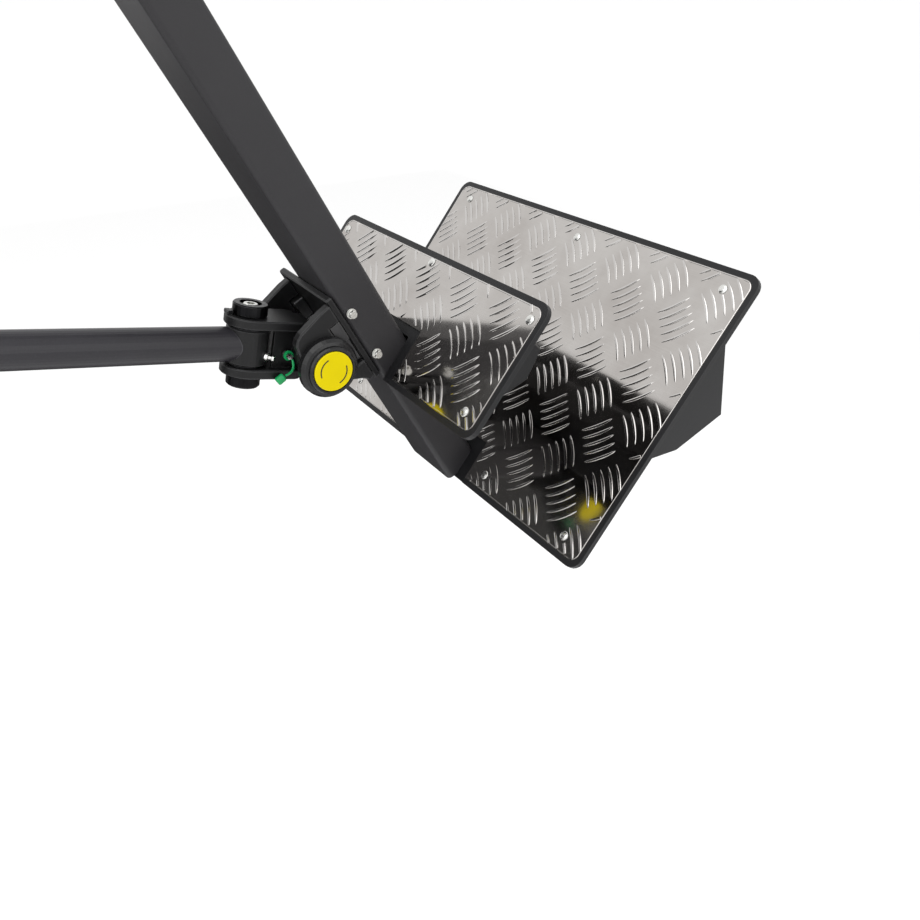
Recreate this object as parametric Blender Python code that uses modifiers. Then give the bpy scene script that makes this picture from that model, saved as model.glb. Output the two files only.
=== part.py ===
"""Lever arm with two tread-plate steps and a universal joint that carries a link tube.

Metres, +Z up. The origin is the centre of the arm's upper end. Y runs along the steps.
"""
import bpy
import bmesh
from math import radians, cos, sin
from mathutils import Matrix, Vector

# arm: rectangular tube that comes down to the right
ARM_TILT = radians(62.0)
ARM_LEN = 0.592
ARM_Y = 0.080
ARM_W = 0.040
ARM_WALL = 0.003
ARM_CORNER = 0.0055
BOLT_T = (0.3577, 0.4074)
BOLT_W = -0.0130
TOP_T, TOP_Y, TOP_W = 0.010, 0.060, 0.045

# steps: both slope down towards -X
STEP_TILT = radians(51.1)
RIM = 0.0056
TRAY_T = 0.0050
SKIN_T = 0.0018
GAP = 0.0003
BIG_AT = (0.4703, 0.2717, 0.2350)
BIG_U, BIG_V = 0.479, 0.3102
SMALL_AT = (0.3814, 0.0982, 0.1745)
SMALL_U, SMALL_V = 0.3675, 0.1316
NOTCH_SIDE = 0.0160
BOX_WALL = 0.003

# universal joint
PIVOT_T, PIVOT_W = 0.3815, -0.0595
YOKE_Y = 0.0045
YOKE_TILT = radians(13.4)
SWING = radians(7.5)
BARREL_X, BARREL_Z = -0.0580, 0.0042
BARREL_R, BARREL_H = 0.0194, 0.0330
EAR_R, EAR_T = 0.0222, 0.0085
CHEEK_IN, CHEEK_T, CHEEK_R = 0.0395, 0.0100, 0.0236
HUB_R = 0.0190
HUB_Y = CHEEK_IN - 0.0022
PIN_R = 0.0100
SWIVEL_R = 0.0080
EAR_IN = BARREL_H / 2 + 0.0022
WEB_Y = 0.0120
NIPPLE_AT = (-0.0242, -0.0010)
BARREL_NIPPLE = radians(-52)
BARREL_NIPPLE_Z = -0.0080
LINK_R, LINK_WALL, LINK_LEN = 0.01575, 0.0026, 0.270

# bracket plate (from and to along the arm, from and to in Y, thickness) and its cheeks' recess
FLANGE = (0.333, 0.4290, -0.0400, 0.0670, 0.0065)
RECESS = 0.0115
RECESS_START, RECESS_END = -0.0275, 0.0205


def frame(origin, x, y, z):
    m = Matrix.Identity(4)
    for col, vec in enumerate((x, y, z)):
        for row in range(3):
            m[row][col] = vec[row]
    m.translation = Vector(origin)
    return m


along = Vector((cos(ARM_TILT), 0, -sin(ARM_TILT)))
across = Vector((sin(ARM_TILT), 0, cos(ARM_TILT)))
down = Vector((-cos(STEP_TILT), 0, -sin(STEP_TILT)))
out = Vector((-sin(STEP_TILT), 0, cos(STEP_TILT)))
ahead = Vector((cos(YOKE_TILT), 0, -sin(YOKE_TILT)))
up = Vector((sin(YOKE_TILT), 0, cos(YOKE_TILT)))
side = Vector((0, 1, 0))


def on_arm(t, w, y=0.0):
    return along * t + across * w + side * y


ARM = frame((0, 0, 0), along, side, across)
BIG = frame(on_arm(*BIG_AT), down, -side, out)
SMALL = frame(on_arm(*SMALL_AT), down, -side, out)
YOKE = frame(on_arm(PIVOT_T, PIVOT_W, YOKE_Y), ahead, side, up)
HINGE = YOKE @ Matrix.Rotation(radians(90), 4, "X")   # local Z is -Y
LINK = YOKE @ Matrix.Translation((BARREL_X, 0, BARREL_Z)) @ Matrix.Rotation(SWING, 4, "Z")
ABOUT_Y = Matrix.Rotation(radians(-90), 4, "X")
ABOUT_X = Matrix.Rotation(radians(90), 4, "Y")

for ob in list(bpy.data.objects):
    bpy.data.objects.remove(ob, do_unlink=True)

scene = bpy.context.scene
parts = bpy.data.collections.new("step_arm_with_yoke_joint")
tools = bpy.data.collections.new("cutters")
scene.collection.children.link(parts)
scene.collection.children.link(tools)

# empties: one for the fixed arm and one on each joint's axis
holders = []
for title, seat in (("arm_base", ARM), ("yoke_pivot", YOKE), ("link_swivel", LINK)):
    empty = bpy.data.objects.new(title, None)
    empty.empty_display_size = 0.03
    empty.matrix_basis = seat
    scene.collection.objects.link(empty)
    holders.append((empty, seat))
current = "arm_base"

COLOURS = {
    "charcoal": ((0.055, 0.057, 0.062), 0.45, 0.55),
    "black": ((0.012, 0.012, 0.013), 0.2, 0.45),
    "casting": ((0.025, 0.026, 0.028), 0.2, 0.5),
    "tread": ((0.75, 0.73, 0.70), 1.0, 0.3),
    "zinc": ((0.72, 0.72, 0.70), 1.0, 0.3),
    "bronze": ((0.55, 0.36, 0.15), 1.0, 0.4),
    "yellow": ((0.90, 0.80, 0.01), 0.0, 0.35),
    "green": ((0.0, 0.42, 0.11), 0.0, 0.4),
    "plastic": ((0.015, 0.015, 0.016), 0.0, 0.4),
}


def paint(ob, kind):
    rgb, metal, rough = COLOURS[kind]
    mat = bpy.data.materials.new(ob.name)
    mat.use_nodes = True
    bsdf = mat.node_tree.nodes["Principled BSDF"]
    bsdf.inputs["Base Color"].default_value = (*rgb, 1)
    bsdf.inputs["Metallic"].default_value = metal
    bsdf.inputs["Roughness"].default_value = rough
    ob.data.materials.clear()
    ob.data.materials.append(mat)


def place(data, name, kind, matrix):
    """Make the object at its place; a kind of None makes a cutter."""
    ob = bpy.data.objects.new(name, data)
    ob.matrix_basis = matrix
    data.name = name
    for holder, seat in holders:
        if current == holder.name:
            ob.parent = holder
            ob.matrix_parent_inverse = seat.inverted()
    if kind:
        parts.objects.link(ob)
        paint(ob, kind)
    else:
        tools.objects.link(ob)
        ob.display_type = "WIRE"
        ob.hide_render = True
    return ob


def made(build):
    bm = bmesh.new()
    build(bm)
    bmesh.ops.recalc_face_normals(bm, faces=bm.faces)
    mesh = bpy.data.meshes.new("mesh")
    bm.to_mesh(mesh)
    bm.free()
    return mesh


def block(name, kind, matrix, low, high, edge=0.0):
    """A box between two corners in a local frame, its edges rounded."""
    size = [h - l for l, h in zip(low, high)]
    mid = [(h + l) / 2 for l, h in zip(low, high)]

    def build(bm):
        bmesh.ops.create_cube(bm, size=1.0)
        bmesh.ops.scale(bm, vec=size, verts=bm.verts)
        bmesh.ops.translate(bm, vec=mid, verts=bm.verts)
    ob = place(made(build), name, kind, matrix)
    if edge:
        soften(ob, edge)
    return ob


def round_bar(name, kind, matrix, radius, low, high, sides=28, edge=0.0):
    """A cylinder along local Z."""
    def build(bm):
        bmesh.ops.create_cone(bm, cap_ends=True, segments=sides, radius1=radius,
                              radius2=radius, depth=high - low)
        bmesh.ops.translate(bm, vec=(0, 0, (high + low) / 2), verts=bm.verts)
    ob = place(made(build), name, kind, matrix)
    if edge:
        soften(ob, edge)
    return ob


def plate(name, kind, matrix, outline, low, high, edge=0.0):
    """A closed outline in local XY, drawn as a flat curve and given a thickness."""
    curve = bpy.data.curves.new(name, "CURVE")
    curve.dimensions = "2D"
    curve.fill_mode = "BOTH"
    curve.extrude = (high - low) / 2
    spline = curve.splines.new("POLY")
    spline.points.add(len(outline) - 1)
    for point, (x, y) in zip(spline.points, outline):
        point.co = (x, y, 0, 1)
    spline.use_cyclic_u = True
    holder = bpy.data.objects.new(name, curve)
    scene.collection.objects.link(holder)
    bpy.context.view_layer.update()
    mesh = bpy.data.meshes.new_from_object(holder)
    bpy.data.objects.remove(holder, do_unlink=True)
    bm = bmesh.new()
    bm.from_mesh(mesh)
    bmesh.ops.remove_doubles(bm, verts=bm.verts, dist=0.00002)
    bmesh.ops.dissolve_limit(bm, angle_limit=0.01, verts=bm.verts, edges=bm.edges)
    bmesh.ops.recalc_face_normals(bm, faces=bm.faces)
    bm.to_mesh(mesh)
    bm.free()
    mesh.transform(Matrix.Translation((0, 0, (high + low) / 2)))
    ob = place(mesh, name, kind, matrix)
    if edge:
        soften(ob, edge)
    return ob


def soften(ob, width):
    mod = ob.modifiers.new("Bevel", "BEVEL")
    mod.width = width
    mod.segments = 1
    mod.limit_method = "ANGLE"
    mod.angle_limit = radians(35)
    mod.use_clamp_overlap = True


def combine(ob, other, how):
    mod = ob.modifiers.new(how.title(), "BOOLEAN")
    mod.operation = how
    mod.solver = "EXACT"
    mod.object = other
    if other.name in parts.objects:
        parts.objects.unlink(other)
        tools.objects.link(other)
    other.display_type = "WIRE"
    other.hide_render = True


def cut(ob, *others):
    for other in others:
        combine(ob, other, "DIFFERENCE")


def add(ob, *others):
    for other in others:
        combine(ob, other, "UNION")


def arc(cx, cy, r, a0, a1, n):
    return [(cx + r * cos(radians(a0 + (a1 - a0) * i / n)),
             cy + r * sin(radians(a0 + (a1 - a0) * i / n))) for i in range(n + 1)]


def rounded(x0, x1, y0, y1, r, n=6):
    return (arc(x1 - r, y1 - r, r, 0, 90, n) + arc(x0 + r, y1 - r, r, 90, 180, n)
            + arc(x0 + r, y0 + r, r, 180, 270, n) + arc(x1 - r, y0 + r, r, 270, 360, n))


# arm

def build_arm():
    hy, hw = ARM_Y / 2, ARM_W / 2
    # local Z runs along the arm and local X is minus across
    length = ARM @ ABOUT_X
    tube = plate("arm_tube", "charcoal", length, rounded(-hw, hw, -hy, hy, ARM_CORNER),
                 GAP, ARM_LEN)
    bore = plate("arm_bore", None, length,
                 rounded(-hw + ARM_WALL, hw - ARM_WALL, -hy + ARM_WALL, hy - ARM_WALL,
                         ARM_CORNER - ARM_WALL + 0.0005), -0.02, ARM_LEN + 0.02)
    foot = block("arm_foot_cut", None, BIG, (-0.2, -0.1, -0.30),
                 (0.5, 0.6, -SKIN_T))
    cut(tube, bore, foot)
    for i, t in enumerate(BOLT_T):
        cut(tube, round_bar("arm_bolt_hole_%d" % i, None,
                            ARM @ Matrix.Translation((t, 0, BOLT_W)) @ ABOUT_Y,
                            0.0032, -0.06, 0.0, 20))
    top = block("arm_top_plate", "charcoal", ARM, (-TOP_T, -TOP_Y, -TOP_W),
                (0.0, TOP_Y, TOP_W), 0.0012)
    cut(top, round_bar("top_plate_core", None, ARM @ ABOUT_X, 0.0110, -0.03, 0.03, 32))
    for i, (y, w) in enumerate(((1, 1), (1, -1), (-1, 1), (-1, -1))):
        cut(top, round_bar("top_plate_hole_%d" % i, None,
                           ARM @ Matrix.Translation((0, y * 0.8 * TOP_Y, w * 0.73 * TOP_W)) @ ABOUT_X,
                           0.0045, -0.03, 0.03, 24))


def build_arm_bolts():
    face = -ARM_Y / 2
    for tag, t in zip(("upper", "lower"), BOLT_T):
        seat = ARM @ Matrix.Translation((t, 0, BOLT_W)) @ ABOUT_Y
        bolt = turned("arm_bolt_" + tag, "zinc", seat, [
            (0.0, face + 0.0100), (0.0024, face + 0.0100), (0.0024, face - 0.0015),
            (0.0041, face - 0.0015), (0.0041, face - 0.0050), (0.0034, face - 0.0057),
            (0.0, face - 0.0057)], 24)
        hexagon = round_bar("arm_bolt_hex_" + tag, None, seat, 0.0039, face - 0.02, face - 0.0020, 6)
        sleeve = round_bar("arm_bolt_sleeve_" + tag, None, seat, 0.0090, face - 0.02, face - 0.0020, 24)
        cut(sleeve, hexagon)
        cut(bolt, sleeve)
        ring("arm_washer_" + tag, "zinc", seat, 0.0027, 0.0049, face - 0.0012, face - GAP, 28)


def turned(name, kind, matrix, profile, sides=28):
    """A profile of (radius, height) points, top to bottom, spun about local Z."""
    mesh = bpy.data.meshes.new(name)
    points = [(r, 0, z) for r, z in profile]
    edges = [(k, k + 1) for k in range(len(points) - 1)]
    if points[0][0] > 0:
        edges.append((len(points) - 1, 0))
    mesh.from_pydata(points, edges, [])
    ob = place(mesh, name, kind, matrix)
    spin = ob.modifiers.new("Screw", "SCREW")
    spin.axis = "Z"
    spin.steps = sides
    spin.render_steps = sides
    spin.use_merge_vertices = True
    spin.merge_threshold = 0.00001
    spin.use_smooth_shade = True
    return ob


def ring(name, kind, matrix, inner, outer, low, high, sides=28, edge=0.0):
    """A washer, bush or sleeve about local Z."""
    profile = [(inner, high), (outer, high), (outer, low), (inner, low)]
    if edge:
        profile = [(inner, high), (outer - edge, high), (outer, high - edge),
                   (outer, low + edge), (outer - edge, low), (inner, low)]
    return turned(name, kind, matrix, profile, sides)


# steps

def inset(profile, wall):
    """The inside of a folded sheet whose open side is at depth 0."""
    lines = []
    for (x0, y0), (x1, y1) in zip(profile, profile[1:]):
        run, rise = x1 - x0, y1 - y0
        size = (run * run + rise * rise) ** 0.5
        lines.append((x0 + rise / size * wall, y0 - run / size * wall, run, rise))
    mouth = (0.0, -0.010, 1.0, 0.0)
    inner = []
    for (ax, ay, au, av), (bx, by, bu, bv) in zip([mouth] + lines, lines + [mouth]):
        k = ((bx - ax) * bv - (by - ay) * bu) / (au * bv - av * bu)
        inner.append((ax + au * k, ay + av * k))
    return inner


def build_step(tag, base, size_u, size_v, slot, screws, box):
    """One tray with its tread skin, screws and rear box. slot is the arm's opening."""
    lo_u, hi_u, top_v, through = slot
    tray = plate(tag + "_tray", "black", base, rounded(0, size_v, 0, size_u, 0.0130),
                 -TRAY_T, 0.0)
    well = plate(tag + "_well", None, base,
                 rounded(RIM, size_v - RIM, RIM, size_u - RIM, 0.0100), -SKIN_T - GAP, 0.01)
    gate = block(tag + "_gate", None, base, (top_v + 0.002, lo_u - NOTCH_SIDE, -SKIN_T - GAP),
                 (size_v + 0.02, hi_u + NOTCH_SIDE, 0.011))
    cut(tray, well, gate)
    if through:
        cut(tray, block(tag + "_slot", None, base, (through, lo_u - 0.0006, -0.02),
                        (size_v + 0.02, hi_u + 0.0006, 0.02)))
    skin = plate(tag + "_tread", "tread", base,
                 rounded(RIM + GAP, size_v - RIM - GAP, RIM + GAP, size_u - RIM - GAP, 0.0097),
                 -SKIN_T, 0.0)
    cut(skin, block(tag + "_notch", None, base, (top_v, lo_u - NOTCH_SIDE, -0.02),
                    (size_v + 0.02, hi_u + NOTCH_SIDE, 0.02)))
    for i, (v, u) in enumerate(screws):
        at = base @ Matrix.Translation((v, u, 0))
        turned("%s_screw_%d" % (tag, i + 1), "zinc", at, [
            (0.0, 0.0019), (0.0024, 0.0017), (0.0041, 0.0011), (0.0046, GAP), (0.0022, GAP),
            (0.0022, -TRAY_T + GAP), (0.0, -TRAY_T + GAP)], 16)
        hole = round_bar("%s_hole_%d" % (tag, i), None, at, 0.0027, -0.02, 0.02, 16)
        cut(tray, hole)
        cut(skin, hole)
    lo, hi, profile = box
    # profile is (v, depth behind the tray)
    spin = base @ Matrix.Rotation(radians(90), 4, "X")
    body = plate(tag + "_rear_box", "black", spin,
                 [(v, -TRAY_T - GAP - d) for v, d in profile], -hi, -lo, 0.002)
    cut(body, plate(tag + "_box_hollow", None, spin,
                    [(v, -TRAY_T - GAP - d) for v, d in inset(profile, BOX_WALL)],
                    -hi + BOX_WALL, -lo - BOX_WALL))
    return body


def build_steps():
    mid = BIG_AT[2]
    lo, hi = mid - ARM_Y / 2, mid + ARM_Y / 2
    big_screws = [(0.0210, u) for u in (0.0305, 0.2405, 0.4465)]
    big_screws += [(0.2890, u) for u in (0.0305, 0.1625, 0.3145, 0.4465)]
    build_step("large_step", BIG, BIG_U, BIG_V, (lo, hi, 0.2602, None), big_screws,
               (0.030, 0.4485, [(0.015, 0), (0.109, 0.100), (0.164, 0.069), (0.218, 0)]))
    mid = SMALL_AT[2]
    lo, hi = mid - ARM_Y / 2, mid + ARM_Y / 2
    small_screws = [(0.018, 0.014), (0.0105, 0.187), (0.018, 0.352), (0.112, 0.343), (0.112, 0.022)]
    body = build_step("small_step", SMALL, SMALL_U, SMALL_V,
                      (lo, hi, 0.0735, 0.0835), small_screws,
                      (0.030, 0.336, [(0.026, 0), (0.030, 0.040), (0.060, 0.045),
                                      (0.116, 0.012), (0.116, 0)]))
    arm = block("small_box_slot", None, ARM, (0.2, -ARM_Y / 2 - 0.0004, -ARM_W / 2 - 0.03),
                (0.60, ARM_Y / 2 + 0.0004, ARM_W / 2 + 0.0004))
    cut(body, arm)


# bracket on the arm

def build_bracket():
    t0, t1, y0, y1, thick = FLANGE
    face = -ARM_W / 2 - GAP
    block("bracket_flange", "casting", ARM, (t0, y0, face - thick), (t1, y1, face), 0.0012)
    # a cheek's outline in (along, across) about the pivot, with a recess at its root
    root = face - thick - GAP - PIVOT_W
    a, b = t0 + 0.003 - PIVOT_T, t1 - 0.006 - PIVOT_T
    deep = root - RECESS
    shape = [(a, root), (a + 0.0006, 0.0220), (a + 0.0048, -0.0030), (a + 0.0070, -0.0085)]
    shape += [(a + 0.0110, -0.0125)] + arc(0, 0, CHEEK_R, 225, 370, 20)
    shape += [(b - 0.006, root - 0.011), (b, root - 0.006), (b, root)]
    shape += [(RECESS_END, root), (RECESS_END, deep), (RECESS_START, deep), (RECESS_START, root)]
    spin = ARM @ Matrix.Translation((PIVOT_T, YOKE_Y, PIVOT_W)) @ ABOUT_Y.inverted()
    # local Y is across, local Z is -Y
    for tag, sign in (("near", 1), ("far", -1)):
        low, high = sorted((sign * CHEEK_IN, sign * (CHEEK_IN + CHEEK_T)))
        cheek = plate("cheek_" + tag, "casting", spin, shape, low, high, 0.0012)
        cut(cheek, round_bar("bore_" + tag, None, spin, PIN_R + 0.0002, -0.08, 0.08, 28))
        # two keys in the recess, one set deeper than the other
        for level, x0, x1, reach in (("upper", RECESS_START + 0.0005, -0.0060, 0.0018),
                                     ("lower", -0.0050, RECESS_END - 0.0005, 0.0060)):
            low, high = sorted((sign * (CHEEK_IN - 0.0080), sign * (CHEEK_IN + CHEEK_T - reach)))
            block("bracket_key_%s_%s" % (tag, level), "casting", spin,
                  (x0, deep + GAP, low), (x1, root, high), 0.0008)


def build_pivot():
    near = CHEEK_IN + CHEEK_T
    round_bar("pivot_pin", "zinc", HINGE, PIN_R, -near, near, 28, 0.0008)
    for tag, sign in (("near", 1), ("far", -1)):
        low, high = sorted((sign * (HUB_Y - 0.001), sign * (HUB_Y - 0.021)))
        ring("pivot_bush_" + tag, "bronze", HINGE, PIN_R + 0.0002, 0.0125, low, high)
        low = HUB_Y + GAP if sign > 0 else -HUB_Y - GAP - 0.0016
        ring("pivot_washer_" + tag, "zinc", HINGE, PIN_R + 0.0003, 0.0175, low, low + 0.0016)
    turned("pivot_cap_near", "plastic", HINGE, [
        (0.0, near + 0.0127), (0.0193, near + 0.0127), (0.0197, near + 0.0142),
        (0.0213, near + 0.0144), (0.0225, near + 0.0130), (0.0229, near + 0.0104),
        (0.0256, near + 0.0096), (0.0280, near + 0.0060), (0.0284, near + GAP),
        (0.0, near + GAP)], 40)
    turned("pivot_disc", "yellow", HINGE, [
        (0.0, near + 0.0150), (0.0180, near + 0.0150), (0.0186, near + 0.0145),
        (0.0186, near + 0.0130), (0.0, near + 0.0130)], 36)
    turned("pivot_cap_far", "plastic", HINGE, [
        (0.0, -near - GAP), (0.0224, -near - GAP), (0.0215, -near - 0.0070),
        (0.0185, -near - 0.0090), (0.0, -near - 0.0090)], 28)


# yoke and link

def build_yoke():
    body = round_bar("yoke", "casting", HINGE, HUB_R, -HUB_Y, HUB_Y, 36, 0.0010)
    top, low = BARREL_Z + EAR_IN, BARREL_Z - EAR_IN
    outline = arc(BARREL_X, 0, EAR_R, 90, 270, 24)
    outline += [(-0.0165, -EAR_R), (-0.0120, -0.0205), (-0.0100, -0.0165)]
    outline += [(-0.0100, 0.0165), (-0.0120, 0.0205), (-0.0165, EAR_R)]
    for tag, z0, z1 in (("top", top, top + EAR_T), ("low", low - EAR_T, low)):
        add(body, plate("yoke_ear_" + tag, None, YOKE, outline, z0, z1, 0.0009))
    add(body, block("yoke_web", None, YOKE, (-0.0370, -WEB_Y, low - EAR_T + 0.0005),
                    (-0.0040, WEB_Y, top + EAR_T - 0.0005)))
    swivel = YOKE @ Matrix.Translation((BARREL_X, 0, BARREL_Z))
    spot = YOKE @ Matrix.Translation((NIPPLE_AT[0], 0, NIPPLE_AT[1])) @ ABOUT_Y.inverted()
    cut(body, round_bar("yoke_bore", None, HINGE, 0.0127, -0.08, 0.08, 28),
        round_bar("yoke_eye", None, swivel, SWIVEL_R + 0.0002, -0.08, 0.08, 40),
        round_bar("yoke_sweep", None, swivel, BARREL_R + 0.0030, -EAR_IN, EAR_IN, 36),
        round_bar("yoke_nipple_hole", None, spot, 0.0027, 0.0060, 0.05, 20))
    nipple("yoke_nipple", spot, WEB_Y)
    ring("nipple_strap_ring", "green", spot, 0.0025, 0.0046, WEB_Y + 0.0055, WEB_Y + 0.0068)
    build_swivel(swivel)


def build_swivel(at):
    """The bolt that the link turns on, with its cap screw, nut, washers and lock tab."""
    z = EAR_IN + EAR_T
    turned("swivel_bolt", "black", at, [
        (0.0, z - 0.0060), (0.0033, z - 0.0060), (0.0033, z + 0.0046), (0.0096, z + 0.0046),
        (0.0100, z + 0.0110), (0.0148, z + 0.0110), (0.0158, z + 0.0098), (0.0158, z + 0.0012),
        (0.0150, z + GAP), (SWIVEL_R, z + GAP), (SWIVEL_R, -z - 0.0095),
        (SWIVEL_R - 0.001, -z - 0.0105), (0.0, -z - 0.0105)], 28)
    screw = turned("swivel_screw", "zinc", at, [
        (0.0, z + 0.0104), (0.0060, z + 0.0104), (0.0068, z + 0.0097), (0.0068, z + 0.0049),
        (0.0030, z + 0.0049), (0.0030, z - 0.0056), (0.0, z - 0.0056)], 24)
    cut(screw, round_bar("swivel_socket", None, at, 0.0040, z + 0.0066, z + 0.02, 6))
    ring("swivel_nut", "black", at, SWIVEL_R + 0.0002, 0.0155, -z - 0.0120, -z - GAP, 28, 0.0014)
    for tag, low in (("upper", BARREL_H / 2 + GAP), ("lower", -BARREL_H / 2 - GAP - 0.0016)):
        ring("swivel_washer_" + tag, "black", at, SWIVEL_R + 0.0003, 0.0180, low, low + 0.0016)
    block("lock_tab", "black", at, (-0.0224, -0.0050, z + GAP), (-0.0172, 0.0050, z + 0.0040),
          0.0007)


def nipple(name, spot, seat):
    return turned(name, "zinc", spot, [
        (0.0, seat + 0.0108), (0.0026, seat + 0.0104), (0.0029, seat + 0.0086),
        (0.0018, seat + 0.0074), (0.0022, seat + 0.0052), (0.0043, seat + 0.0046),
        (0.0043, seat + 0.0019), (0.0024, seat + 0.0018), (0.0024, seat - 0.0045),
        (0.0, seat - 0.0045)], 24)


def build_strap():
    """A thin green strap that hangs from the nipple's ring and carries the cap."""
    spot = YOKE @ Matrix.Translation((NIPPLE_AT[0], -WEB_Y - 0.0062, NIPPLE_AT[1]))
    curve = bpy.data.curves.new("nipple_strap", "CURVE")
    curve.dimensions = "3D"
    curve.bevel_depth = 0.0011
    curve.bevel_resolution = 2
    curve.use_fill_caps = True
    start = Vector((0.0032, -0.0020, -0.0030))
    pull = Vector((0.0052, -0.0050, -0.0080))
    low = Vector((0.0035, -0.0090, -0.0135))
    end = Vector((-0.0050, -0.0092, -0.0160))
    count = 12
    spline = curve.splines.new("POLY")
    spline.points.add(count - 1)
    for k, point in enumerate(spline.points):
        q = k / (count - 1)
        co = (start * (1 - q) ** 3 + pull * 3 * q * (1 - q) ** 2 + low * 3 * q * q * (1 - q)
              + end * q ** 3)
        point.co = (*co, 1)
    place(curve, "nipple_strap", "green", spot)
    # the cap hangs on a slant below the strap's end
    hang = Matrix.Translation(end) @ Matrix.Rotation(radians(48), 4, "Y")
    turned("nipple_cap", "green", spot @ hang @ Matrix.Translation((0, 0, -0.0055)), [
        (0.0, 0.0040), (0.0034, 0.0040), (0.0040, 0.0030), (0.0040, -0.0030), (0.0034, -0.0040),
        (0.0, -0.0040)], 24)


def build_link():
    barrel = ring("link_barrel", "casting", LINK, 0.0112, BARREL_R, -BARREL_H / 2, BARREL_H / 2,
                  36, 0.0010)
    turn = (LINK @ Matrix.Translation((0, 0, BARREL_NIPPLE_Z))
            @ Matrix.Rotation(BARREL_NIPPLE, 4, "Z") @ ABOUT_X)
    cut(barrel, round_bar("barrel_nipple_hole", None, turn, 0.0027, 0.0118, 0.05, 20))
    for tag, low, high in (("lower", -BARREL_H / 2 + 0.0005, -0.0010),
                           ("upper", 0.0010, BARREL_H / 2 - 0.0005)):
        ring("barrel_bush_" + tag, "bronze", LINK, SWIVEL_R + 0.0002, 0.0109, low, high)
    nipple("barrel_nipple", turn, BARREL_R - 0.0018)
    tube_at = LINK @ Matrix.Rotation(radians(-90), 4, "Y")   # local Z points away from the barrel
    tube = ring("link_tube", "charcoal", tube_at, LINK_R - LINK_WALL, LINK_R, 0.005, LINK_LEN, 36)
    cut(tube, round_bar("saddle", None, LINK, BARREL_R + GAP, -0.05, 0.05, 36))
    inner = LINK_R - LINK_WALL - GAP
    end = turned("link_end_plug", "plastic", tube_at, [
        (0.0, LINK_LEN + 0.0075), (LINK_R - 0.0015, LINK_LEN + 0.0075), (LINK_R, LINK_LEN + 0.0060),
        (LINK_R, LINK_LEN + GAP), (inner, LINK_LEN + GAP), (inner, LINK_LEN - 0.018),
        (0.0, LINK_LEN - 0.018)], 36)
    cut(end, round_bar("plug_thread", None, tube_at, 0.0050, LINK_LEN - 0.010, LINK_LEN + 0.02, 32))


build_arm()
build_arm_bolts()
build_steps()
build_bracket()
build_pivot()
current = "yoke_pivot"
build_yoke()
build_strap()
current = "link_swivel"
build_link()

for ob in parts.objects:
    if ob.type == "MESH" and ob.data.polygons:
        ob.data.shade_smooth()
        ob.data.set_sharp_from_angle(angle=radians(35))
print("nodes", len(parts.objects))
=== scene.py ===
import bpy
import bmesh
from math import cos, sin, radians, pi, sqrt
from mathutils import Matrix, Vector


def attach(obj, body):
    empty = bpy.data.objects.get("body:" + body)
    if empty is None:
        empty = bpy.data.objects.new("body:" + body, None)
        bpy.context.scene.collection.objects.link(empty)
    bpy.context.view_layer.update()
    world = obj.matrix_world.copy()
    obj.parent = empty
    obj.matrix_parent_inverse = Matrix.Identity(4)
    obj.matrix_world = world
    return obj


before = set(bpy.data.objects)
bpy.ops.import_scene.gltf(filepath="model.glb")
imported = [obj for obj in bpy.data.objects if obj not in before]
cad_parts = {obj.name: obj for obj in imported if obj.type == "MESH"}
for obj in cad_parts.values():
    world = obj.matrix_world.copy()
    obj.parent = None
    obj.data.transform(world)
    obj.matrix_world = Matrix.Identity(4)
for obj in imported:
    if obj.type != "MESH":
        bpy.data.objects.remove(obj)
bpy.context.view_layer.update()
print("frame loaded:", len(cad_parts), "nodes")

armTilt = radians(62.0)
stepTilt = radians(51.1)
yokeTilt = radians(13.4)
along = Vector((cos(armTilt), 0, -sin(armTilt)))
across = Vector((sin(armTilt), 0, cos(armTilt)))
downStep = Vector((-cos(stepTilt), 0, -sin(stepTilt)))
outStep = Vector((-sin(stepTilt), 0, cos(stepTilt)))
ahead = Vector((cos(yokeTilt), 0, -sin(yokeTilt)))
upYoke = Vector((sin(yokeTilt), 0, cos(yokeTilt)))
sideways = Vector((0, 1, 0))


def seat(origin, x, y, z):
    m = Matrix.Identity(4)
    for col, vec in enumerate((x, y, z)):
        for row in range(3):
            m[row][col] = vec[row]
    m.translation = Vector(origin)
    return m


def onArm(t, w, y):
    return along * t + across * w + sideways * y


class Sock:
    # wraps an output socket, so that + and * make Math nodes
    def __init__(self, finish, out):
        self.finish = finish
        self.out = out

    def __add__(self, other):
        return self.finish.node("ShaderNodeMath", {"operation": "ADD"}, {0: self, 1: other})

    def __mul__(self, other):
        return self.finish.node("ShaderNodeMath", {"operation": "MULTIPLY"}, {0: self, 1: other})

    __radd__ = __add__
    __rmul__ = __mul__


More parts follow.
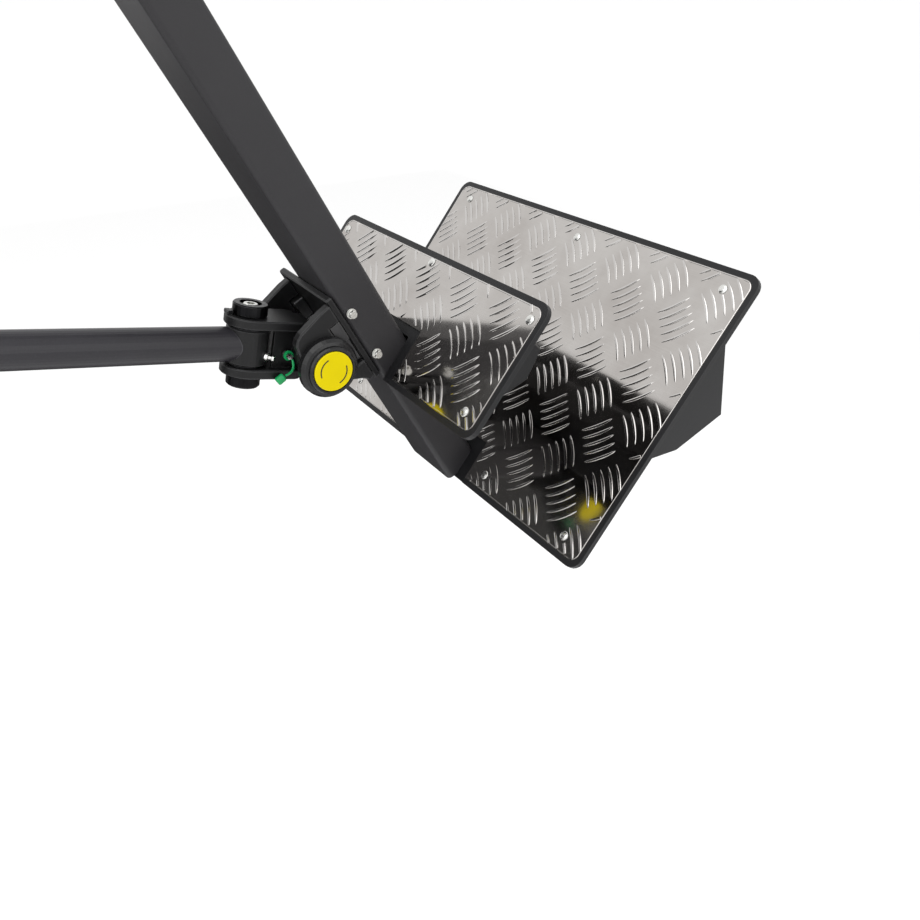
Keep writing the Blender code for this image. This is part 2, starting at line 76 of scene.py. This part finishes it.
class Finish:
    def __init__(self, name):
        self.mat = bpy.data.materials.new(name)
        self.mat.use_nodes = True
        self.tree = self.mat.node_tree
        self.shader = self.tree.nodes["Principled BSDF"]

    def give(self, slot, value):
        # a link, a colour of three parts, or a plain value
        if isinstance(value, Sock):
            self.tree.links.new(value.out, slot)
        elif slot.type == "RGBA":
            slot.default_value = (*value, 1)
        else:
            slot.default_value = value

    def node(self, kind, settings=None, inputs=None, pick=0):
        n = self.tree.nodes.new(kind)
        for key, value in (settings or {}).items():
            setattr(n, key, value)
        for key, value in (inputs or {}).items():
            self.give(n.inputs[key], value)
        return Sock(self, n.outputs[pick])

    def onObject(self):
        return self.node("ShaderNodeTexCoord", pick="Object")

    def stretched(self, scale):
        return self.node("ShaderNodeMapping", {"vector_type": "POINT"},
                         {"Vector": self.onObject(), "Scale": scale})

    def noise(self, scale, detail, rough, where=None):
        return self.node("ShaderNodeTexNoise", {"noise_dimensions": "3D"},
                         {"Vector": where or self.onObject(), "Scale": scale, "Detail": detail,
                          "Roughness": rough})

    def ramp(self, value, low, high, a=0.0, b=1.0):
        return self.node("ShaderNodeMapRange", {"clamp": True},
                         {"Value": value, "From Min": low, "From Max": high, "To Min": a, "To Max": b})

    def blend(self, factor, a, b):
        # sockets 6 and 7 are the Mix node's two colours, and output 2 their mix
        return self.node("ShaderNodeMix", {"data_type": "RGBA"}, {"Factor": factor, 6: a, 7: b}, 2)

    def edges(self, size):
        # 1 on edges, where the bevelled normal leaves the true one; the finishes paint a highlight on their
        # edges with it
        bent = self.node("ShaderNodeBevel", {"samples": 4}, {"Radius": size})
        true = self.node("ShaderNodeNewGeometry", pick="Normal")
        match = self.node("ShaderNodeVectorMath", {"operation": "DOT_PRODUCT"}, {0: bent, 1: true}, "Value")
        return self.ramp(match, 0.99, 0.93)

    def bump(self, height, distance, strength, normal=None):
        inputs = {"Height": height, "Distance": distance, "Strength": strength}
        if normal:
            inputs["Normal"] = normal
        return self.node("ShaderNodeBump", {}, inputs)

    def feed(self, colour, rough, metal=0.0, shine=0.5, normal=None):
        self.give(self.shader.inputs["Base Color"], colour)
        self.give(self.shader.inputs["Roughness"], rough)
        self.give(self.shader.inputs["Metallic"], metal)
        self.give(self.shader.inputs["Specular IOR Level"], shine)
        if normal:
            self.give(self.shader.inputs["Normal"], normal)


def powderCoat(name, settings):
    f = Finish(name)
    cloud = f.noise(9.0, 4.0, 0.55)
    peel = f.noise(settings["peel"], 2.0, 0.45)
    fleck = f.noise(2600.0, 1.0, 0.5)
    # the edges are painted lighter, a painted highlight along each edge
    paintedEdgeHighlight = f.edges(settings["edge"]) * settings["edgeHighlightShare"]
    tone = f.blend(f.ramp(cloud, 0.35, 0.7), settings["base"], settings["light"])
    tone = f.blend(f.ramp(fleck, 0.58, 0.72) * 0.35, tone, settings["glint"])
    tone = f.blend(paintedEdgeHighlight, tone, settings["edgeHighlightColour"])
    rough = f.ramp(cloud, 0.3, 0.7, settings["rough"] - 0.04, settings["rough"] + 0.05)
    f.feed(tone, rough, shine=settings["shine"],
           normal=f.bump(peel + fleck * 0.15, settings["depth"], 0.6))
    return f.mat


def treadMetal(name, settings):
    # bright rolled sheet, close to a mirror: slow waves, a faint haze and fine rolling lines
    f = Finish(name)
    wave = f.noise(1.0, 2.0, 0.45, f.stretched((9.0, 5.0, 9.0)))
    lines = f.noise(1.0, 3.0, 0.6, f.stretched((900.0, 14.0, 900.0)))
    cloud = f.noise(16.0, 4.0, 0.6)
    scuff = f.ramp(f.noise(1.0, 4.0, 0.7, f.stretched((60.0, 420.0, 60.0))), 0.62, 0.74)
    tone = f.blend(f.ramp(cloud, 0.3, 0.7), settings["base"], settings["light"])
    tone = f.blend(f.ramp(lines, 0.45, 0.75) * 0.15, tone, settings["line"])
    rough = f.ramp(cloud, 0.3, 0.7, settings["rough"] - 0.03, settings["rough"] + 0.03) + scuff * 0.07
    waves = f.bump(wave, settings["wave"], 0.5)
    f.feed(tone, rough, metal=1.0, normal=f.bump(lines, settings["depth"], 0.12, waves))
    return f.mat


def platedSteel(name, settings):
    f = Finish(name)
    turn = f.noise(420.0, 2.0, 0.5)
    cloud = f.noise(60.0, 3.0, 0.5)
    tone = f.blend(f.ramp(cloud, 0.3, 0.7), settings["base"], settings["light"])
    # the edges are painted lighter, a painted highlight along each edge
    tone = f.blend(f.edges(0.0006) * 0.6, tone, settings["edgeHighlightColour"])
    rough = f.ramp(turn, 0.3, 0.7, settings["rough"] - 0.05, settings["rough"] + 0.06)
    f.feed(tone, rough, metal=1.0, normal=f.bump(turn, 0.00004, 0.4))
    return f.mat


def moulded(name, settings):
    f = Finish(name)
    grain = f.noise(settings["grain"], 2.0, 0.5)
    cloud = f.noise(30.0, 3.0, 0.5)
    tone = f.blend(f.ramp(cloud, 0.3, 0.7), settings["base"], settings["light"])
    # the edges are painted lighter, a painted highlight along each edge
    tone = f.blend(f.edges(0.0007) * 0.4, tone, settings["edgeHighlightColour"])
    rough = f.ramp(grain, 0.3, 0.7, settings["rough"] - 0.04, settings["rough"] + 0.06)
    f.feed(tone, rough, shine=settings["shine"], normal=f.bump(grain, settings["depth"], 0.5))
    return f.mat


# in these tables the edge colour is a painted highlight along the edges
charcoal = {"base": (0.020, 0.019, 0.021), "light": (0.026, 0.025, 0.027), "glint": (0.07, 0.07, 0.075),
            "edgeHighlightColour": (0.11, 0.11, 0.12), "edge": 0.0012, "edgeHighlightShare": 0.35, "peel": 900.0,
            "rough": 0.48, "depth": 0.00006, "shine": 0.32}
linkGrey = {**charcoal, "base": (0.018, 0.017, 0.020), "light": (0.025, 0.024, 0.029), "rough": 0.36}
satinBlack = {**charcoal, "base": (0.006, 0.006, 0.007), "light": (0.011, 0.011, 0.012),
              "glint": (0.02, 0.02, 0.02), "edgeHighlightColour": (0.05, 0.05, 0.05), "rough": 0.42}
casting = {**charcoal, "base": (0.005, 0.005, 0.0055), "light": (0.009, 0.009, 0.0095),
           "glint": (0.06, 0.06, 0.06), "edgeHighlightColour": (0.085, 0.085, 0.088), "peel": 420.0,
           "rough": 0.40, "depth": 0.00014, "edgeHighlightShare": 0.5, "shine": 0.27}
tread = {"base": (0.43, 0.405, 0.385), "light": (0.54, 0.52, 0.50), "line": (0.62, 0.60, 0.57),
         "rough": 0.095, "depth": 0.00003, "wave": 0.004}
# the bars are the sheet's own metal in a lighter copy, a painted highlight on the bars
treadBar = {**tread, "base": (0.52, 0.50, 0.485), "light": (0.62, 0.605, 0.59), "rough": 0.13}
zinc = {"base": (0.66, 0.66, 0.63), "light": (0.80, 0.80, 0.78), "edgeHighlightColour": (0.92, 0.92, 0.90),
        "rough": 0.26}
bronze = {"base": (0.52, 0.34, 0.15), "light": (0.62, 0.42, 0.20), "edgeHighlightColour": (0.75, 0.55, 0.30),
          "rough": 0.35}
blackSteel = {"base": (0.010, 0.010, 0.011), "light": (0.018, 0.018, 0.019),
              "edgeHighlightColour": (0.12, 0.12, 0.125), "rough": 0.36}
keySteel = {"base": (0.05, 0.05, 0.052), "light": (0.09, 0.09, 0.092), "edgeHighlightColour": (0.25, 0.25, 0.25),
            "rough": 0.42}
blackPlastic = {"base": (0.005, 0.005, 0.0055), "light": (0.009, 0.009, 0.0095),
                "edgeHighlightColour": (0.04, 0.04, 0.04), "grain": 1500.0, "rough": 0.22, "depth": 0.00003,
                "shine": 0.36}
yellow = {"base": (0.63, 0.51, 0.0004), "light": (0.69, 0.565, 0.0008), "edgeHighlightColour": (0.86, 0.76, 0.02),
          "grain": 900.0, "rough": 0.36, "depth": 0.00002, "shine": 0.08}
green = {"base": (0.0, 0.26, 0.07), "light": (0.0, 0.34, 0.09), "edgeHighlightColour": (0.03, 0.6, 0.22),
         "grain": 900.0, "rough": 0.40, "depth": 0.00003, "shine": 0.45}

finishes = {
    "charcoal": powderCoat("charcoal powder coat", charcoal),
    "linkGrey": powderCoat("link tube powder coat", linkGrey),
    "satinBlack": powderCoat("satin black tray", satinBlack),
    "casting": powderCoat("black casting", casting),
    "tread": treadMetal("bright tread sheet", tread),
    "treadBar": treadMetal("tread bars painted lighter", treadBar),
    "zinc": platedSteel("bright zinc", zinc),
    "bronze": platedSteel("bearing bronze", bronze),
    "blackSteel": platedSteel("black oxide steel", blackSteel),
    "keySteel": platedSteel("bare key steel", keySteel),
    "blackPlastic": moulded("black moulding", blackPlastic),
    "yellow": moulded("yellow disc", yellow),
    "green": moulded("green rubber", green),
}
print("finishes made:", len(finishes))

# the first line with a word that is in the node's name gives its finish, and the rest are castings
finishWords = {
    "charcoal": ("arm_tube", "arm_top_plate"),
    "linkGrey": ("link_tube",),
    "keySteel": ("bracket_key",),
    "satinBlack": ("tray", "rear_box"),
    "tread": ("tread",),
    "green": ("nipple_cap", "nipple_strap"),
    "zinc": ("screw", "arm_bolt", "arm_washer", "pivot_pin", "pivot_washer", "nipple"),
    "bronze": ("bush",),
    "yellow": ("pivot_disc",),
    "blackPlastic": ("pivot_cap", "link_end_plug"),
    "blackSteel": ("swivel", "lock_tab"),
    "casting": ("",),
}
for name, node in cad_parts.items():
    kind = next(key for key, words in finishWords.items() if any(word in name for word in words))
    node.data.materials.clear()
    node.data.materials.append(finishes[kind])
print("nodes finished")


def loft(bm, rows):
    # a skin over rows of points, closed round each row and capped at both ends
    made = [[bm.verts.new(point) for point in row] for row in rows]
    around = len(made[0])
    for a, b in zip(made, made[1:]):
        for m in range(around):
            n = (m + 1) % around
            bm.faces.new((a[m], b[m], b[n], a[n]))
    bm.faces.new(made[0])
    bm.faces.new(made[-1])


def piece(name, bm, matrix, finish):
    mesh = bpy.data.meshes.new(name)
    bmesh.ops.recalc_face_normals(bm, faces=bm.faces)
    bm.to_mesh(mesh)
    bm.free()
    mesh.transform(matrix)
    ob = bpy.data.objects.new(name, mesh)
    bpy.context.scene.collection.objects.link(ob)
    mesh.materials.append(finishes[finish])
    mesh.shade_smooth()
    mesh.set_sharp_from_angle(angle=radians(40))
    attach(ob, "arm")


# place is along and across the arm and sideways; the rest is measured down and along the step
largeStep = {"place": (0.4703, 0.2717, 0.2350), "size": (0.3102, 0.479), "notch": 0.2602,
             "screws": [(0.0210, 0.0305), (0.0210, 0.2405), (0.0210, 0.4465), (0.2890, 0.0305),
                        (0.2890, 0.1625), (0.2890, 0.3145), (0.2890, 0.4465)],
             "cell": 0.0471, "start": (0.0304, 0.0864), "length": 0.0355, "pitch": 0.0086}
smallStep = {"place": (0.3814, 0.0982, 0.1745), "size": (0.1316, 0.3675), "notch": 0.0735,
             "screws": [(0.018, 0.014), (0.0105, 0.187), (0.018, 0.352), (0.112, 0.343),
                        (0.112, 0.022)],
             "cell": 0.0450, "start": (-0.0063, 0.0034), "length": 0.0345, "pitch": 0.0083}
notchSide = {"half": 0.0560, "clear": 0.0010}
bars = {"width": 0.0032, "height": 0.00100, "count": 5, "bow": 0.0016, "sink": 0.00012, "slices": 14,
        "round": 5, "fewestSlices": 4, "tipSize": 0.0004, "taper": 2.4, "rim": 0.0066, "clear": 0.0058}


def stepSeat(step):
    return seat(onArm(*step["place"]), downStep, -sideways, outStep)


def notchEnds(step):
    reach = notchSide["half"] + notchSide["clear"]
    return step["place"][2] - reach, step["place"][2] + reach


def addBar(bm, centre, angle, length, keep):
    # a low rounded bar on a slight bow, with pointed ends; where the sheet is cut, so is the bar
    c, s = cos(angle), sin(angle)
    rows = []
    for k in range(bars["slices"] + 1):
        q = k / bars["slices"] * 2 - 1
        full = sqrt(max(bars["tipSize"], 1 - abs(q) ** bars["taper"]))
        x = q * length / 2
        lean = bars["bow"] * (0.5 - q * q)
        v, u = centre[0] + x * c - lean * s, centre[1] + x * s + lean * c
        if keep(v, u):
            row = []
            for m in range(bars["round"] + 1):
                a = pi * m / bars["round"]
                y = bars["width"] / 2 * full * cos(a)
                z = bars["height"] * full * sin(a) ** 0.8 - bars["sink"]
                row.append((v - y * s, u + y * c, z))
            rows.append(row)
        elif len(rows) >= bars["fewestSlices"]:
            break
        else:
            rows = []
    if len(rows) >= bars["fewestSlices"]:
        loft(bm, rows)


def treadBars(name, step):
    # groups of bars, turned a quarter from one cell to the next; the cells stand on their corners
    sizeV, sizeU = step["size"]
    half = step["cell"] / sqrt(2)
    rim = bars["rim"]
    notchStart, notchEnd = notchEnds(step)
    bm = bmesh.new()

    def keep(v, u):
        if not (rim < v < sizeV - rim and rim < u < sizeU - rim):
            return False
        if v > step["notch"] - notchSide["clear"] and notchStart < u < notchEnd:
            return False
        return all((v - sv) ** 2 + (u - su) ** 2 > bars["clear"] ** 2 for sv, su in step["screws"])

    for i in range(-2, int(sizeU / half) + 3):
        for j in range(-2, int(sizeV / half) + 3):
            if (i + j) % 2 == 0:
                continue
            v = step["start"][0] + j * half
            u = step["start"][1] + i * half
            angle = radians(45) if j % 2 == 0 else radians(-45)
            for k in range(bars["count"]):
                shift = (k - bars["count"] // 2) * step["pitch"]
                centre = (v - sin(angle) * shift, u + cos(angle) * shift)
                addBar(bm, centre, angle, step["length"], keep)
    piece(name, bm, stepSeat(step), "treadBar")


# section is (reach inwards, height)
bead = {"rim": 0.0062, "corner": 0.0094, "turns": 8,
        "section": ((0.0, -0.0001), (0.0, 0.00028), (0.0003, 0.0004), (0.0008, 0.0004), (0.0011, -0.0001))}


def sheetEdge(name, step):
    # the sheet's own cut edge: a thin bright bead just inside the tray's rim, left out at the notch; its
    # brightness is the lighter bar metal, a painted highlight
    rim, corner = bead["rim"], bead["corner"]
    lowV, lowU = rim + corner, rim + corner
    highV, highU = step["size"][0] - rim - corner, step["size"][1] - rim - corner
    notchStart, notchEnd = notchEnds(step)
    edgeV = step["size"][0] - rim
    path = [Vector((edgeV, notchEnd))]
    for quarter, (v, u) in enumerate(((highV, highU), (lowV, highU), (lowV, lowU), (highV, lowU))):
        for k in range(bead["turns"] + 1):
            a = radians(90 * (quarter + k / bead["turns"]))
            path.append(Vector((v + corner * cos(a), u + corner * sin(a))))
    path.append(Vector((edgeV, notchStart)))
    rows = []
    for k, point in enumerate(path):
        before = point - path[max(k - 1, 0)]
        after = path[min(k + 1, len(path) - 1)] - point
        turn = (before.normalized() + after.normalized()).normalized()
        inward = Vector((-turn.y, turn.x))
        rows.append([(*(point + inward * reach), z) for reach, z in bead["section"]])
    bm = bmesh.new()
    loft(bm, rows)
    piece(name, bm, stepSeat(step), "treadBar")


treadBars("large_step_bars", largeStep)
treadBars("small_step_bars", smallStep)
sheetEdge("large_step_edge", largeStep)
sheetEdge("small_step_edge", smallStep)
print("tread bars made")

# face is how far the disc's face stands from the middle of the pivot, and turn is in degrees
mark = {"pivot": (0.3815, -0.0595, 0.0045), "face": 0.0645, "turn": -14, "inner": 0.0122,
        "outer": 0.0132, "height": 0.00025, "sink": 0.0001, "span": 84, "pieces": 18}


def discArcs():
    bm = bmesh.new()
    low, high = mark["face"] - mark["sink"], mark["face"] + mark["height"]
    section = ((mark["inner"], low), (mark["outer"], low), (mark["outer"], high), (mark["inner"], high))
    for middle in (0, 180):
        rows = []
        for k in range(mark["pieces"] + 1):
            a = radians(middle - mark["span"] / 2 + mark["span"] * k / mark["pieces"])
            rows.append([(r * cos(a), r * sin(a), z) for r, z in section])
        loft(bm, rows)
    pivot = seat(onArm(*mark["pivot"]), ahead, sideways, upYoke)
    turned = pivot @ Matrix.Rotation(radians(90), 4, "X") @ Matrix.Rotation(radians(mark["turn"]), 4, "Z")
    piece("pivot_disc_marks", bm, turned, "blackPlastic")


discArcs()
print("disc marks made")

stage = {"floorZ": -1.6, "floorHalf": 60.0, "floorTone": (0.97, 0.97, 0.97), "clothLift": 0.02,
         "boardReach": 3.2, "boardFoot": -1.55, "darkTone": (0.042, 0.042, 0.042), "rough": 0.9}


def stageSheet(name, corners, finishName, tone, mirroredOnly=False):
    mesh = bpy.data.meshes.new(name)
    mesh.from_pydata(corners, [], [(0, 1, 2, 3)])
    ob = bpy.data.objects.new(name, mesh)
    bpy.context.scene.collection.objects.link(ob)
    f = Finish(finishName)
    f.feed(tone, stage["rough"])
    mesh.materials.append(f.mat)
    if mirroredOnly:
        ob.visible_camera = False
        ob.visible_shadow = False
        ob.visible_diffuse = False


def makeFloor():
    h, z = stage["floorHalf"], stage["floorZ"]
    stageSheet("floor", [(-h, -h, z), (h, -h, z), (h, h, z), (-h, h, z)], "pale floor", stage["floorTone"])
    # a dark cloth on the floor behind the part, which shows only in faces that mirror it
    z += stage["clothLift"]
    stageSheet("floor cloth", [(-1.6, 0.35, z), (4.0, 0.35, z), (4.0, 6.0, z), (-1.6, 6.0, z)],
               "floor cloth dye", stage["darkTone"], True)


def makeBoard(name, bearing, width, top, slope):
    # a dark board to the left of the view, which shows only in the treads
    a = radians(bearing)
    foot = Vector((stage["boardReach"] * cos(a), stage["boardReach"] * sin(a), stage["boardFoot"]))
    half = Vector((-sin(a), cos(a), 0)) * width / 2
    left = Vector((0, 0, top - slope - foot.z))
    right = Vector((0, 0, top + slope - foot.z))
    stageSheet(name, [foot - half, foot + half, foot + half + right, foot - half + left],
               name + " cloth", stage["darkTone"], True)


def softLight(name, location, target, side, power):
    data = bpy.data.lights.new(name, "AREA")
    data.shape = "RECTANGLE"
    data.size = side
    data.size_y = side
    data.energy = power
    ob = bpy.data.objects.new(name, data)
    ob.location = location
    ob.rotation_euler = (Vector(target) - Vector(location)).to_track_quat("-Z", "Y").to_euler()
    bpy.context.scene.collection.objects.link(ob)


def makeWorld(strength):
    world = bpy.data.worlds.new("studio")
    world.use_nodes = True
    background = world.node_tree.nodes["Background"]
    background.inputs["Color"].default_value = (1, 1, 1, 1)
    background.inputs["Strength"].default_value = strength
    bpy.context.scene.world = world


makeFloor()
makeBoard("board one", 128.4, 0.87, 1.40, 0.07)
makeBoard("board two", 138, 0.7, 1.56, -0.08)
makeBoard("board three", 154, 1.4, 1.46, 0.12)
softLight("sky panel", (-0.6, -0.4, 1.9), (0.2, 0, -0.35), 2.2, 26)
softLight("left panel", (-2.0, -1.0, 0.5), (0.15, 0, -0.35), 1.6, 9)
softLight("camera side panel", (0.9, -2.2, 0.4), (0.2, 0, -0.35), 1.4, 8)
makeWorld(1.04)

# angles in degrees, the lens in millimetres
camera = {"place": (-0.1603, -0.7116, -0.0506), "azimuth": 57.12, "elevation": 29.975,
          "lens": 33.42757, "sensor": 36.0, "nearest": 0.01}


def makeCamera():
    data = bpy.data.cameras.new("camera")
    data.sensor_width = camera["sensor"]
    data.lens = camera["lens"]
    data.clip_start = camera["nearest"]
    ob = bpy.data.objects.new("camera", data)
    a, e = radians(camera["azimuth"]), radians(camera["elevation"])
    look = Vector((cos(e) * cos(a), cos(e) * sin(a), -sin(e)))
    ob.location = camera["place"]
    ob.rotation_euler = look.to_track_quat("-Z", "Y").to_euler()
    bpy.context.scene.collection.objects.link(ob)
    bpy.context.scene.camera = ob


makeCamera()
bpy.context.scene.view_settings.view_transform = "Standard"
print("stage made")
